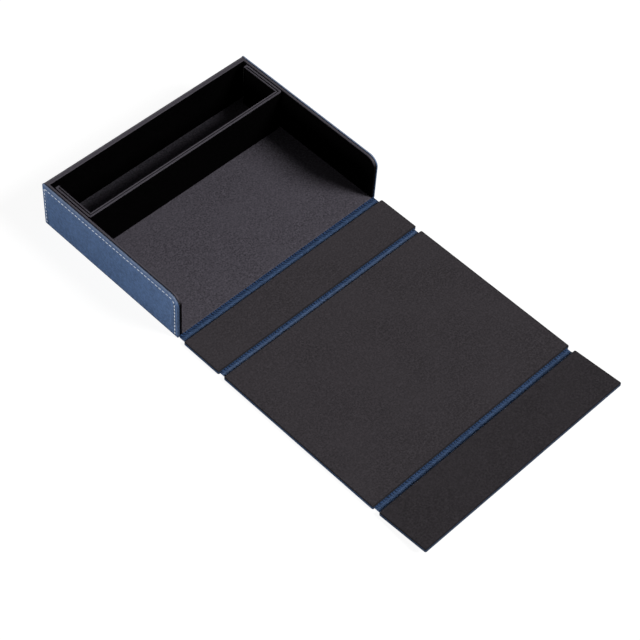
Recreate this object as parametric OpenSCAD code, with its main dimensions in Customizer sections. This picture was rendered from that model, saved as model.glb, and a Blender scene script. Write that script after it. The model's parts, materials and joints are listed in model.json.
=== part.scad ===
// Dice storage chest: a shallow tray box of wrapped board whose one-piece leatherette
// cover runs out of the base as three hinged panels (front, lid and closing flap).
// A folded divider stands loose in front of the back wall and makes the dice compartment.
// Shown open, with the panels laid out flat in front and the flap slightly raised.
// X runs along the back wall, Y runs from front to back, Z is up.
// The origin is in the middle of the tray box's underside.

/* [Tray box] */
// Width of the tray box over its side covers
box_w = 203.6; // [160:0.2:300]
// Depth of the side walls, from their front edges to their rear ends
side_d = 150.1; // [115:0.1:220]
// Height of the walls
wall_h = 43.6; // [34:0.2:70]
// Radius of the side walls' top front corner
corner_r = 9; // [4:0.5:14]
// Radius of the side covers' other corners
small_r = 1.2; // [0.9:0.1:3]
// How far the back wall sits in from the side walls' rear ends
back_inset = 0.8; // [0.2:0.1:3]

/* [Sheet materials] */
// Thickness of the leatherette
leather_t = 0.7; // [0.4:0.1:1.2]
// Thickness of the microfibre lining
lining_t = 0.5; // [0.3:0.1:1]
// Thickness of the boards in the base and the panels
board_t = 2; // [1.5:0.1:3.5]
// Thickness of the boards in the inner walls
wall_board_t = 1.9; // [1.2:0.1:3]
// Thickness of the card that stiffens each side cover
side_card_t = 1.1; // [0.8:0.1:2]
// Thickness of the outer board of the back wall
back_board_t = 1.3; // [1.3:0.1:2.5]

/* [Folding lid] */
// How far each panel reaches past the side covers
lid_overhang = 0.7; // [0:0.1:3]
// Corner radius of the panels
panel_r = 1.2; // [1:0.1:4]
// How far the panels' lining stays inside their edges
lining_inset = 0.2; // [0.1:0.1:0.8]
// Width of the front hinge strip
front_strip_w = 6.6; // [5:0.1:10]
// Width of the lid hinge strip
lid_strip_w = 5.3; // [4:0.1:10]
// Width of the flap hinge strip
flap_strip_w = 5.5; // [4:0.1:10]
// How far the hinge strips' ends sit in from the panels' sides
strip_inset = 2; // [0.5:0.1:6]
// Gap between each hinge strip and the panel that turns on it
fold_gap = 0.05; // [0.02:0.01:0.3]
// Thickness of the inner hinge tape
tape_t = 0.4; // [0.2:0.1:0.8]
// Height of the front fold's turning line above the underside
front_pivot_z = 1.7; // [1:0.05:2.4]
// Height of the lid fold's turning line above the underside
lid_pivot_z = 1.45; // [0.8:0.05:2.4]
// Height of the flap fold's turning line above the underside
flap_pivot_z = 0.9; // [0.5:0.05:2]
// Place of the flap fold's turning line across its strip, from the lid's edge
flap_pivot_share = 0.6; // [0.4:0.05:0.8]
// Angle by which the open flap stands up from the table
flap_rise = 4.5; // [0:0.5:20]
// Gap between the closed front panel and the side walls
front_gap = 0.7; // [0.3:0.1:3]
// Gap between the closed lid and the wall tops
lid_gap = 0.3; // [0.2:0.1:2]
// Gap between the closed flap and the side covers' rear ends
back_gap = 0.3; // [0.2:0.1:2]
// Height of the closed flap's free edge above the underside
flap_foot = 0.3; // [0.1:0.1:3]

/* [Magnets] */
// Diameter of the closing magnets and their steel discs
magnet_d = 12; // [6:0.5:16]
// Thickness of the magnets
magnet_t = 1.2; // [0.8:0.1:1.4]
// Thickness of the steel discs
disc_t = 0.8; // [0.4:0.1:1.2]
// Distance of each magnet from the middle of the flap
magnet_x = 62; // [20:1:70]
// Distance of the magnets from the flap's free edge
magnet_in = 14; // [9:0.5:20]

/* [Divider] */
// Gap between the divider's front face and the back wall's inner face
compartment_d = 44.3; // [30:0.1:70]
// Clearance between the divider and each side wall
divider_side_gap = 0.5; // [0.3:0.1:2]
// Clearance between the divider's rear ends and the back wall
divider_back_gap = 4.6; // [1:0.1:8]
// How far the divider's rim lies below the wall tops
divider_drop = 0.3; // [0:0.1:5]
// Thickness of the divider's boards
divider_board_t = 1.4; // [1:0.1:2.5]
// Thickness of the divider's outer wrap
wrap_t = 0.4; // [0.3:0.1:0.8]
// Seam between the divider's boards and its liners
seam_w = 0.5; // [0.1:0.05:0.8]
// Thickness of the divider's inner liners
liner_t = 1.5; // [1:0.1:3]
// Length of the lips folded in at the wings' rear ends, over the ends of the liners
lip_w = 3.4; // [2.5:0.1:12]
// Outer radius of the divider's front corners
divider_r = 1.8; // [1:0.1:4]

/* [Hidden] */
$fn = 64;
eps = 0.01;

// Layers: the floor and the panels share one stack of sheets
panel_t = leather_t + board_t + lining_t;
base_top = leather_t + board_t;
side_cover_t = leather_t + side_card_t;
wall_t = wall_board_t + lining_t;
back_outer_t = back_board_t + lining_t;
strip_t = leather_t + tape_t;

// Tray box planes, measured from its middle
cover_x = box_w / 2;
wall_x = cover_x - side_cover_t;
well_x = wall_x - wall_t;
front_y = -side_d / 2;
rear_y = side_d / 2;
back_y = rear_y - back_inset;
back_mid_y = back_y - back_outer_t;
well_y = back_mid_y - wall_t;

// A fold turns a point by a quarter about its turning line: what pointed forwards points up
function fold(p, pivot) = [pivot[0] + p[1] - pivot[1], pivot[1] + pivot[0] - p[0]];
function turn(p, pivot, a) = let (u = p[0] - pivot[0], w = p[1] - pivot[1])
    [pivot[0] + u * cos(a) + w * sin(a), pivot[1] - u * sin(a) + w * cos(a)];

// Panel lengths follow from the box, so that the closed cover clears it by the named gaps
panel_w = box_w + 2 * lid_overhang;
front_pivot_y = front_y - panel_t - front_gap + front_pivot_z;
front_len = wall_h + lid_gap + panel_t - lid_pivot_z - front_pivot_z
    + (front_y - front_pivot_y) - front_strip_w - lid_strip_w / 2;
front_near_y = front_y - front_strip_w;
front_far_y = front_near_y - front_len;
lid_pivot_y = front_far_y - lid_strip_w / 2;
lid_near_y = front_far_y - lid_strip_w;
flap_reach = flap_pivot_share * flap_strip_w;
lid_len = rear_y + back_gap + panel_t - flap_pivot_z - lid_pivot_z + front_pivot_z
    - front_pivot_y - lid_strip_w / 2 - flap_reach;
lid_far_y = lid_near_y - lid_len;
flap_pivot_y = lid_far_y - flap_reach;
flap_near_y = lid_far_y - flap_strip_w;
front_pivot = [front_pivot_y, front_pivot_z];
lid_pivot = [lid_pivot_y, lid_pivot_z];
flap_pivot = [flap_pivot_y, flap_pivot_z];
function closed(p) = fold(fold(fold(p, flap_pivot), lid_pivot), front_pivot);
flap_len = closed([flap_near_y, 0])[1] - flap_foot;
flap_far_y = flap_near_y - flap_len;
magnet_y = flap_far_y + magnet_in;
disc_z = closed([magnet_y, 0])[1];
pocket_gap = 0.1;

// Divider planes: outer faces, then the boards, the seam and the liners behind them
divider_h = wall_h - divider_drop - panel_t;
divider_x = well_x - divider_side_gap;
divider_front_y = well_y - compartment_d;
divider_rear_y = well_y - divider_back_gap;
core_x = divider_x - wrap_t;
core_front_y = divider_front_y + wrap_t;
core_rear_y = divider_rear_y - wrap_t;
core_h = divider_h - wrap_t;
core_inner_x = core_x - divider_board_t;
core_inner_y = core_front_y + divider_board_t;
liner_x = core_inner_x - seam_w;
liner_y = core_inner_y + seam_w;
liner_in_x = liner_x - liner_t;
liner_in_y = liner_y + liner_t;
lip_y = core_rear_y - divider_board_t;
lip_in_x = core_x - lip_w;

// Colours
navy = [0.28, 0.36, 0.48];
tape_blue = [0.2, 0.28, 0.41];
lining_grey = [0.26, 0.25, 0.28];
panel_grey = [0.21, 0.2, 0.21];
wall_black = [0.07, 0.065, 0.075];
greyboard = [0.55, 0.53, 0.5];
metal = [0.7, 0.7, 0.72];

// A flat outline with its own radius at each corner: [low low, high low, high high, low high]
module corner_cut(p, dir, r) {
    translate(p) difference() {
        translate([min(dir[0], 0) * r - (dir[0] > 0 ? eps : 0), min(dir[1], 0) * r - (dir[1] > 0 ? eps : 0)])
            square([r + eps, r + eps]);
        translate([dir[0] * r, dir[1] * r]) circle(r);
    }
}
module outline(a, b, radii) {
    difference() {
        translate(a) square(b - a);
        corner_cut(a, [1, 1], radii[0]);
        corner_cut([b[0], a[1]], [-1, 1], radii[1]);
        corner_cut(b, [-1, -1], radii[2]);
        corner_cut([a[0], b[1]], [1, -1], radii[3]);
    }
}

// A sheet standing in the YZ plane, from x0 to x1, with the outline's x along Y
module standing(x0, x1) {
    translate([x0, 0, 0]) rotate([90, 0, 90]) linear_extrude(x1 - x0) children();
}
module block(a, b) {
    translate(a) cube(b - a);
}
module mirrored(left) {
    mirror([left ? 1 : 0, 0, 0]) children();
}

// Base
module base_cover() {
    color(navy) block([-wall_x, front_y, 0], [wall_x, back_mid_y, leather_t]);
}
module base_board() {
    color(greyboard) block([-wall_x, front_y + tape_t, leather_t], [wall_x, back_mid_y, base_top]);
}
module floor_lining() {
    color(lining_grey) block([-well_x, front_y, base_top], [well_x, well_y, panel_t]);
}

// Side walls: an inner board under lining, and a stitched leatherette cover over a card
module wall_outline(inset, end_y, foot_z) {
    outline([front_y + inset, foot_z], [end_y, wall_h - inset], [0, 0, 0, corner_r - inset]);
}
module wall_board(left) {
    mirrored(left) color(greyboard) standing(well_x + lining_t, wall_x)
        wall_outline(lining_t, well_y, base_top);
}
module wall_lining(left) {
    mirrored(left) color(wall_black) difference() {
        standing(well_x, wall_x) wall_outline(0, well_y, base_top);
        standing(well_x + lining_t, wall_x + eps) wall_outline(lining_t, well_y + eps, base_top - eps);
    }
}
module cover_outline(inset) {
    r = small_r - inset;
    outline([front_y + inset, inset], [rear_y - inset, wall_h - inset], [r, r, r, corner_r - inset]);
}
module side_card(left) {
    mirrored(left) color(greyboard) standing(wall_x, wall_x + side_card_t) cover_outline(leather_t);
}
module side_cover(left) {
    mirrored(left) color(navy) difference() {
        standing(wall_x, cover_x) cover_outline(0);
        standing(wall_x - eps, wall_x + side_card_t) cover_outline(leather_t);
    }
}
module left_wall_board() { wall_board(true); }
module right_wall_board() { wall_board(false); }
module left_wall_lining() { wall_lining(true); }
module right_wall_lining() { wall_lining(false); }
module left_side_card() { side_card(true); }
module right_side_card() { side_card(false); }
module left_side_cover() { side_cover(true); }
module right_side_cover() { side_cover(false); }

// Back wall: a lined inner board, and a lined outer board that holds the steel discs
module back_wall_board() {
    color(greyboard) block([-wall_x, well_y + lining_t, base_top], [wall_x, back_mid_y, wall_h - lining_t]);
}
module back_wall_lining() {
    color(wall_black) difference() {
        block([-wall_x, well_y, base_top], [wall_x, back_mid_y, wall_h]);
        block([-wall_x - eps, well_y + lining_t, base_top - eps],
            [wall_x + eps, back_mid_y + eps, wall_h - lining_t]);
    }
}
module disc_set(extra) {
    for (side = [-1, 1])
        translate([side * magnet_x, back_y - lining_t - disc_t - extra, disc_z]) rotate([-90, 0, 0])
            cylinder(d = magnet_d + 2 * extra, h = disc_t + 2 * extra);
}
module back_outer_board() {
    color(greyboard) difference() {
        block([-wall_x, back_mid_y, 0], [wall_x, back_y - lining_t, wall_h - lining_t]);
        disc_set(pocket_gap);
    }
}
module back_outer_lining() {
    color(lining_grey) difference() {
        block([-wall_x, back_mid_y, 0], [wall_x, back_y, wall_h]);
        block([-wall_x - eps, back_mid_y - eps, -eps], [wall_x + eps, back_y - lining_t, wall_h - lining_t]);
    }
}
module closing_discs() {
    color(metal) disc_set(0);
}

// Panels: a leatherette cover turned up round a board, with lining laid over both
module panel_outline(far_y, near_y, inset) {
    r = panel_r - inset;
    outline([-panel_w / 2 + inset, far_y + inset], [panel_w / 2 - inset, near_y - inset], [r, r, r, r]);
}
module panel_cover(far_y, near_y) {
    color(navy) difference() {
        linear_extrude(base_top) panel_outline(far_y, near_y, 0);
        translate([0, 0, leather_t]) linear_extrude(board_t + eps) panel_outline(far_y, near_y, leather_t);
    }
}
module panel_board(far_y, near_y) {
    color(greyboard) translate([0, 0, leather_t]) linear_extrude(board_t)
        panel_outline(far_y, near_y, leather_t);
}
module panel_lining(far_y, near_y) {
    color(panel_grey) translate([0, 0, base_top]) linear_extrude(lining_t)
        panel_outline(far_y, near_y, lining_inset);
}
module front_cover() { panel_cover(front_far_y, front_near_y); }
module front_board() { panel_board(front_far_y, front_near_y); }
module front_lining() { panel_lining(front_far_y, front_near_y); }
module lid_cover() { panel_cover(lid_far_y, lid_near_y); }
module lid_board() { panel_board(lid_far_y, lid_near_y); }
module lid_lining() { panel_lining(lid_far_y, lid_near_y); }

// The flap stands up a little from the table about its own turning line
module raised() {
    translate([0, flap_pivot_y, flap_pivot_z]) rotate([-flap_rise, 0, 0])
        translate([0, -flap_pivot_y, -flap_pivot_z]) children();
}
module magnet_set(extra) {
    for (side = [-1, 1])
        translate([side * magnet_x, magnet_y, base_top - magnet_t - extra])
            cylinder(d = magnet_d + 2 * extra, h = magnet_t + 2 * extra);
}
module flap_cover() { raised() panel_cover(flap_far_y, flap_near_y); }
module flap_board() {
    raised() color(greyboard) difference() {
        panel_board(flap_far_y, flap_near_y);
        magnet_set(pocket_gap);
    }
}
module flap_lining() { raised() panel_lining(flap_far_y, flap_near_y); }
module flap_magnets() { raised() color(metal) magnet_set(0); }

// Hinge strips: the bare leatherette between two panels, with a tape along its inside.
// The front tape is also turned up over the front edge of the base board.
module strip(from_y, to_low, to_high, low_z, high_z) {
    standing(-panel_w / 2 + strip_inset, panel_w / 2 - strip_inset)
        polygon([[from_y, low_z], to_low, to_high, [from_y, high_z]]);
}
module flat_strip(from_y, to_y, low_z, high_z) {
    edge_y = to_y + fold_gap;
    strip(from_y, [edge_y, low_z], [edge_y, high_z], low_z, high_z);
}
module flap_strip(low_z, high_z) {
    edge_y = flap_near_y + fold_gap;
    strip(lid_far_y, turn([edge_y, low_z], flap_pivot, flap_rise),
        turn([edge_y, high_z], flap_pivot, flap_rise), low_z, high_z);
}
module front_hinge_cover() { color(navy) flat_strip(front_y, front_near_y, 0, leather_t); }
module front_hinge_tape() {
    color(tape_blue) {
        flat_strip(front_y, front_near_y, leather_t, strip_t);
        block([-wall_x, front_y - eps, leather_t], [wall_x, front_y + tape_t, base_top]);
    }
}
module lid_hinge_cover() { color(navy) flat_strip(front_far_y, lid_near_y, 0, leather_t); }
module lid_hinge_tape() { color(tape_blue) flat_strip(front_far_y, lid_near_y, leather_t, strip_t); }
module flap_hinge_cover() { color(navy) flap_strip(0, leather_t); }
module flap_hinge_tape() { color(tape_blue) flap_strip(leather_t, strip_t); }

// Divider: mitred boards in one wrap, folded back at the ends, with loose liners inside
module on_floor(low_z, high_z) {
    translate([0, 0, panel_t + low_z]) linear_extrude(high_z - low_z) children();
}
module divider_outline(inset) {
    r = divider_r - inset;
    outline([-divider_x + inset, divider_front_y + inset], [divider_x - inset, divider_rear_y - inset],
        [r, r, 0, 0]);
}
module divider_ring_hole() {
    translate([-core_inner_x, core_inner_y]) square([2 * core_inner_x, lip_y - core_inner_y]);
    translate([-lip_in_x, core_inner_y]) square([2 * lip_in_x, compartment_d]);
}
module divider_wrap() {
    color(lining_grey) difference() {
        on_floor(0, divider_h) difference() {
            divider_outline(0);
            divider_ring_hole();
        }
        on_floor(-eps, core_h) divider_outline(wrap_t);
    }
}
module mitre_zone(left) {
    reach = divider_r + compartment_d;
    mirrored(left) polygon([
        [divider_x, divider_front_y], [divider_x - reach, divider_front_y + reach],
        [divider_x, divider_front_y + reach]
    ]);
}
module divider_front_board() {
    color(greyboard) on_floor(0, core_h) difference() {
        intersection() {
            divider_outline(wrap_t);
            translate([-core_x, core_front_y]) square([2 * core_x, divider_board_t]);
        }
        mitre_zone(true);
        mitre_zone(false);
    }
}
module divider_wing(left) {
    color(greyboard) on_floor(0, core_h) intersection() {
        divider_outline(wrap_t);
        mirrored(left) translate([core_inner_x, core_front_y])
            square([divider_board_t, lip_y - core_front_y]);
        mitre_zone(left);
    }
}
module divider_lip(left) {
    mirrored(left) color(greyboard)
        block([lip_in_x, lip_y, panel_t], [core_x, core_rear_y, panel_t + core_h]);
}
module side_liner(left) {
    mirrored(left) color(lining_grey)
        block([liner_in_x, liner_in_y, panel_t], [liner_x, lip_y, panel_t + divider_h]);
}
module divider_front_liner() {
    color(lining_grey) block([-liner_x, liner_y, panel_t], [liner_x, liner_in_y, panel_t + divider_h]);
}
module divider_left_wing() { divider_wing(true); }
module divider_right_wing() { divider_wing(false); }
module divider_left_lip() { divider_lip(true); }
module divider_right_lip() { divider_lip(false); }
module divider_left_liner() { side_liner(true); }
module divider_right_liner() { side_liner(false); }

base_cover();
base_board();
floor_lining();
left_wall_board();
right_wall_board();
back_wall_board();
left_wall_lining();
right_wall_lining();
back_wall_lining();
left_side_card();
right_side_card();
left_side_cover();
right_side_cover();
back_outer_board();
back_outer_lining();
closing_discs();
front_hinge_cover();
front_hinge_tape();
front_cover();
front_board();
front_lining();
lid_hinge_cover();
lid_hinge_tape();
lid_cover();
lid_board();
lid_lining();
flap_hinge_cover();
flap_hinge_tape();
flap_cover();
flap_board();
flap_lining();
flap_magnets();
divider_wrap();
divider_front_board();
divider_left_wing();
divider_right_wing();
divider_left_lip();
divider_right_lip();
divider_front_liner();
divider_left_liner();
divider_right_liner();
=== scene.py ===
"""Finish of a dice storage chest: a wrapped tray box with a three-panel folding lid and a loose divider."""

import json
import math

import bmesh
import bpy
from bpy.props import FloatProperty, FloatVectorProperty, IntProperty, PointerProperty
from mathutils import Matrix, Vector, noise


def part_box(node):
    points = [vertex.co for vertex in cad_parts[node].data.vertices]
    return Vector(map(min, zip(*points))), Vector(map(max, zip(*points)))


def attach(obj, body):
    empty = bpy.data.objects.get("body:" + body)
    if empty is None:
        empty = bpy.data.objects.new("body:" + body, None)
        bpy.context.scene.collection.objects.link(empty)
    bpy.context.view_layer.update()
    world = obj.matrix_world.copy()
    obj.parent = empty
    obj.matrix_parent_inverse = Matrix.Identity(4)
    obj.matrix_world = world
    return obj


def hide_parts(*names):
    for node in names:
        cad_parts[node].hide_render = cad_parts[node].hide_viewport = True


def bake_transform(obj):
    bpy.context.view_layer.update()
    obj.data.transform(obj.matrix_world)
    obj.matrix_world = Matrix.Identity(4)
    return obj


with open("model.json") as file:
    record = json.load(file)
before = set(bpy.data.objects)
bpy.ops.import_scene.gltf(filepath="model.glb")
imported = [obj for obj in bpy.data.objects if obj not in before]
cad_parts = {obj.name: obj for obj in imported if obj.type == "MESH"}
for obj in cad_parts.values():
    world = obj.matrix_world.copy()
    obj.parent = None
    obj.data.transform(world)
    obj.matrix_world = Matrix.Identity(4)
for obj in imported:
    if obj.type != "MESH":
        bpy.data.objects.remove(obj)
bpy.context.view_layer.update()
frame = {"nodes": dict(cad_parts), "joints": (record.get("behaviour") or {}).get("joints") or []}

bl_info = {
    "name": "Dice storage chest",
    "version": (1, 0, 0),
    "blender": (4, 5, 0),
    "location": "View3D > Sidebar > Chest",
    "description": "Covers, linings, stitching, hinge strips and divider of a dice storage chest",
    "category": "Add Mesh",
}

MM = 0.001
X, Y, Z = 0, 1, 2
SIDES = {"left": -1, "right": 1}

NEAR = 0.02 * MM  # two places this close are one
THIN = 0.05 * MM  # the slightest ring, which keeps the shading of the face inside it flat
BROAD = 0.001  # square metres, above which a face is the whole side of a wall
STRAIGHT = 0.999  # cosine, above which a face or an edge looks along an axis
FLAT = 0.995  # cosine, above which a face is flat and not part of a rounded edge

# Places of the base and the floor, and the leatherette's thickness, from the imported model
BASE_LOW, BASE_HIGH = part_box("base_cover")
FLOOR_LOW, FLOOR_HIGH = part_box("floor_lining")
LEATHER = BASE_HIGH.z - BASE_LOW.z
FRONT_Y = BASE_LOW.y
WALL_X = BASE_HIGH.x


class Sizes(bpy.types.PropertyGroup):
    """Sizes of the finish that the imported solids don't hold."""

    corner_radius: FloatProperty(
        name="Corner radius", description="Radius of the side walls' top front corner",
        default=9 * MM, unit="LENGTH")
    back_radius: FloatProperty(
        name="Back corner radius", description="Radius of the side covers' top rear corner",
        default=1.2 * MM, unit="LENGTH")
    cover_round: FloatProperty(
        name="Cover rounding", description="Rounding of the side covers' outer edges",
        default=0.85 * MM, unit="LENGTH")
    cover_inner_round: FloatProperty(
        name="Inner cover rounding", description="Rounding of the side covers' edges beside the lining",
        default=0.65 * MM, unit="LENGTH")
    # seam_width and seam_width_right are the widths of painted shade along the seam beside the lining
    seam_width: FloatProperty(
        name="Seam width", description="Width of the dark seam beside the lining, on the left side cover",
        default=0.8 * MM, unit="LENGTH")
    seam_width_right: FloatProperty(
        name="Right seam width", description="Width of the dark seam on the right side cover",
        default=0.45 * MM, unit="LENGTH")
    foot_radius: FloatProperty(
        name="Foot corner radius", description="Radius of the side covers' lower corners",
        default=1.8 * MM, unit="LENGTH")
    rim_round: FloatProperty(
        name="Rim rounding", description="Rounding of the lined wall rims on the inside",
        default=1.0 * MM, unit="LENGTH")
    # rim_fade is the height over which the rims' painted highlight fades
    rim_fade: FloatProperty(
        name="Rim fade", description="Height over which the pale nap of a wall rim fades",
        default=0.45 * MM, unit="LENGTH")
    rim_seam: FloatProperty(
        name="Rim seam", description="Rounding of the lined wall rims beside the side covers",
        default=0.75 * MM, unit="LENGTH")
    lining_round: FloatProperty(
        name="Lining rounding", description="Rounding of the floor and panel linings' edges",
        default=0.35 * MM, unit="LENGTH")
    panel_radius: FloatProperty(
        name="Panel corner radius", description="Radius of the panels' corners",
        default=1.2 * MM, unit="LENGTH")
    panel_round: FloatProperty(
        name="Panel edge rounding", description="Rounding of the panel covers' outer edges",
        default=0.5 * MM, unit="LENGTH")
    stitch_pitch: FloatProperty(
        name="Stitch pitch", description="Distance from one stitch to the next",
        default=3.82 * MM, unit="LENGTH")
    stitch_length: FloatProperty(
        name="Stitch length", description="Length of the thread that shows in one stitch",
        default=2.5 * MM, unit="LENGTH")
    thread_width: FloatProperty(
        name="Thread width", description="Width of the sewing thread",
        default=0.95 * MM, unit="LENGTH")
    seam_inset: FloatProperty(
        name="Seam inset", description="Distance of the stitching from the top and front edges",
        default=3.75 * MM, unit="LENGTH")
    seam_inset_back: FloatProperty(
        name="Rear seam inset", description="Distance of the stitching from the rear edge",
        default=2.4 * MM, unit="LENGTH")
    seam_foot: FloatProperty(
        name="Seam foot", description="Height at which the stitching starts above the underside",
        default=1.6 * MM, unit="LENGTH")
    groove_depth: FloatProperty(
        name="Groove depth", description="Depth to which the thread pulls the leatherette in",
        default=0.2 * MM, unit="LENGTH")
    strip_fillet: FloatProperty(
        name="Strip fillet", description="Radius with which the hinge tape turns up beside the boards",
        default=1.1 * MM, unit="LENGTH")
    strip_wave: FloatProperty(
        name="Strip wave", description="Unevenness of the hinge strips along their length",
        default=0.07 * MM, unit="LENGTH")
    strip_rows: IntProperty(
        name="Strip rows", description="Rows of faces across a hinge strip, so that it can bend",
        default=24, min=8, max=60)
    divider_radius: FloatProperty(
        name="Divider corner radius", description="Radius of the divider's front corners",
        default=1.8 * MM, unit="LENGTH")


class Finishes(bpy.types.PropertyGroup):
    """Colours of the sheets, the boards, the thread and the metal."""

    navy: FloatVectorProperty(
        name="Leatherette", description="Colour of the navy leatherette", subtype="COLOR",
        default=(0.066, 0.112, 0.215))
    tape: FloatVectorProperty(
        name="Hinge tape", description="Colour of the tape inside the hinges", subtype="COLOR",
        default=(0.062, 0.108, 0.21))
    # The floor, panel and wall linings are one microfibre; these colours are lit and shaded copies of it,
    # painted light and shade
    lining: FloatVectorProperty(
        name="Lining", description="Colour of the microfibre on the floor", subtype="COLOR",
        default=(0.0665, 0.0605, 0.0735))
    panel_lining: FloatVectorProperty(
        name="Panel lining", description="Colour of the microfibre on the panels",
        subtype="COLOR", default=(0.0435, 0.0383, 0.043))
    wall: FloatVectorProperty(
        name="Wall lining", description="Colour of the microfibre inside the walls",
        subtype="COLOR", default=(0.0012, 0.0011, 0.0012))
    # The rim colour is a painted highlight, for rims that catch the light
    rim: FloatVectorProperty(
        name="Rim", description="Colour of the brushed nap along the wall rims", subtype="COLOR",
        default=(0.09, 0.083, 0.098))
    thread: FloatVectorProperty(
        name="Thread", description="Colour of the sewing thread", subtype="COLOR",
        default=(0.68, 0.73, 0.82))
    board: FloatVectorProperty(
        name="Greyboard", description="Colour of the boards and cards", subtype="COLOR",
        default=(0.3, 0.28, 0.25))
    metal: FloatVectorProperty(
        name="Metal", description="Colour of the magnets and the steel discs", subtype="COLOR",
        default=(0.62, 0.62, 0.63))


class Stage(bpy.types.PropertyGroup):
    """Camera and light."""

    camera_place: FloatVectorProperty(
        name="Camera place", description="Where the camera stands", subtype="XYZ", unit="LENGTH",
        default=(-0.64878, -0.69762, 1.08388))
    camera_aim: FloatVectorProperty(
        name="Camera aim", description="Point on the floor at the middle of the picture",
        subtype="XYZ", unit="LENGTH", default=(-0.01383, -0.13195, 0.0))
    camera_roll: FloatProperty(
        name="Camera roll", description="Turn of the camera about its own view", subtype="ANGLE",
        default=math.radians(4.717))
    lens: FloatProperty(
        name="Lens", description="Focal length on a 36 mm wide sensor, in millimetres",
        default=105.8)
    sky: FloatProperty(
        name="Sky", description="Strength of the even light from all round", default=0.08)
    key: FloatProperty(
        name="Key light", description="Strength of the soft light from the right",
        default=3.42)
    key_height: FloatProperty(
        name="Key height", description="Height of the key light above the horizon",
        subtype="ANGLE", default=math.radians(36))
    key_heading: FloatProperty(
        name="Key heading", description="Side that the key light comes from, from +X towards -Y",
        subtype="ANGLE", default=math.radians(59))
    fill: FloatProperty(
        name="Fill light", description="Strength of the low light from the left", default=2.12)
    fill_height: FloatProperty(
        name="Fill height", description="Height of the fill light above the horizon",
        subtype="ANGLE", default=math.radians(3.5))
    fill_heading: FloatProperty(
        name="Fill heading", description="Side that the fill light comes from, from +X towards -Y",
        subtype="ANGLE", default=math.radians(180))
    key_softness: FloatProperty(
        name="Key softness", description="Width of the key light as seen from the object",
        subtype="ANGLE", default=math.radians(23))
    fill_softness: FloatProperty(
        name="Fill softness", description="Width of the fill light as seen from the object",
        subtype="ANGLE", default=math.radians(5))


# Modelling in edit mode

def only(piece=None):
    """Object mode with nothing but this piece selected."""
    if bpy.context.mode != "OBJECT":
        bpy.ops.object.mode_set(mode="OBJECT")
    bpy.ops.object.select_all(action="DESELECT")
    if piece:
        piece.select_set(True)
        bpy.context.view_layer.objects.active = piece


def block(name, low, high):
    """A block between two corners, as the start of a piece."""
    only()
    low, high = Vector(low), Vector(high)
    bpy.ops.mesh.primitive_cube_add(size=1, location=(low + high) / 2, scale=high - low)
    piece = bpy.context.object
    piece.name = piece.data.name = name
    bpy.ops.object.transform_apply()
    return piece


def pick(piece, kind, test):
    """Edit mode on a piece, with the faces, edges or vertices selected that pass a test."""
    if bpy.context.object != piece or bpy.context.mode != "EDIT_MESH":
        only(piece)
        bpy.ops.object.mode_set(mode="EDIT")
    bpy.ops.mesh.select_mode(type=kind)
    bpy.ops.mesh.select_all(action="DESELECT")
    mesh = bmesh.from_edit_mesh(piece.data)
    mesh.normal_update()
    items = {"FACE": mesh.faces, "EDGE": mesh.edges, "VERT": mesh.verts}[kind]
    for item in items:
        item.select_set(bool(test(item)))
    mesh.select_flush_mode()
    bmesh.update_edit_mesh(piece.data)


def at(item, axis, value):
    """True where all corners of an edge or face lie at a value along an axis."""
    return all(abs(v.co[axis] - value) < NEAR for v in item.verts)


def along(edge, axis):
    """True for an edge that runs along an axis."""
    way = edge.verts[1].co - edge.verts[0].co
    return abs(way[axis]) > STRAIGHT * way.length


def facing(face, axis, sign):
    """True for a face that looks along an axis."""
    return face.normal[axis] * sign > STRAIGHT


def corner(y, z):
    """A test for the edges that run across the box at a place."""
    return lambda edge: along(edge, X) and at(edge, Y, y) and at(edge, Z, z)


def rounded(piece, test, radius, segments=4):
    """Rounds the edges that pass a test."""
    pick(piece, "EDGE", test)
    bpy.ops.mesh.bevel(offset=radius, offset_type="OFFSET", segments=segments, profile=0.5,
                       affect="EDGES", clamp_overlap=False)


def ringed(piece, test, *rings):
    """Insets the faces that pass a test, once for each (width, depth)."""
    pick(piece, "FACE", test)
    for width, depth in rings:
        bpy.ops.mesh.inset(thickness=width, depth=depth, use_even_offset=True)


def extruded(move):
    """Extrudes the faces that are selected."""
    bpy.ops.mesh.extrude_region_move(TRANSFORM_OT_translate={"value": move})


def pushed(piece, test, move):
    """Extrudes the faces that pass a test."""
    pick(piece, "FACE", test)
    extruded(move)


def cut(piece, point, normal, drop=False):
    """Cuts a piece across by a plane, and drops what lies behind it if asked."""
    pick(piece, "FACE", lambda face: True)
    bpy.ops.mesh.bisect(plane_co=point, plane_no=normal, use_fill=drop, clear_inner=drop)


def rows(piece, axis, count):
    """Divides a piece into rows along an axis."""
    pick(piece, "EDGE", lambda edge: along(edge, axis))
    bpy.ops.mesh.subdivide(number_cuts=count - 1)


def finished(piece, body, finish, nodes=(), angle=35, worth=None):
    """Smooths a piece, marks its painted highlights and painted shade, gives it its finish and hands it to
    its body.
    """
    only(piece)
    bpy.ops.object.shade_smooth_by_angle(angle=math.radians(angle))
    mark_painted_light(piece, worth or (lambda co, edge: float(edge)))
    piece.data.materials.clear()
    piece.data.materials.append(finish_of(finish))
    if nodes:
        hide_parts(*nodes)
    if body:
        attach(piece, body)


def clamped(value, low=0.0, high=1.0):
    """A number kept between two limits."""
    return max(low, min(high, value))


def between(first, last, share):
    """The number that lies a share of the way from one to another."""
    return first + (last - first) * share


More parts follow.
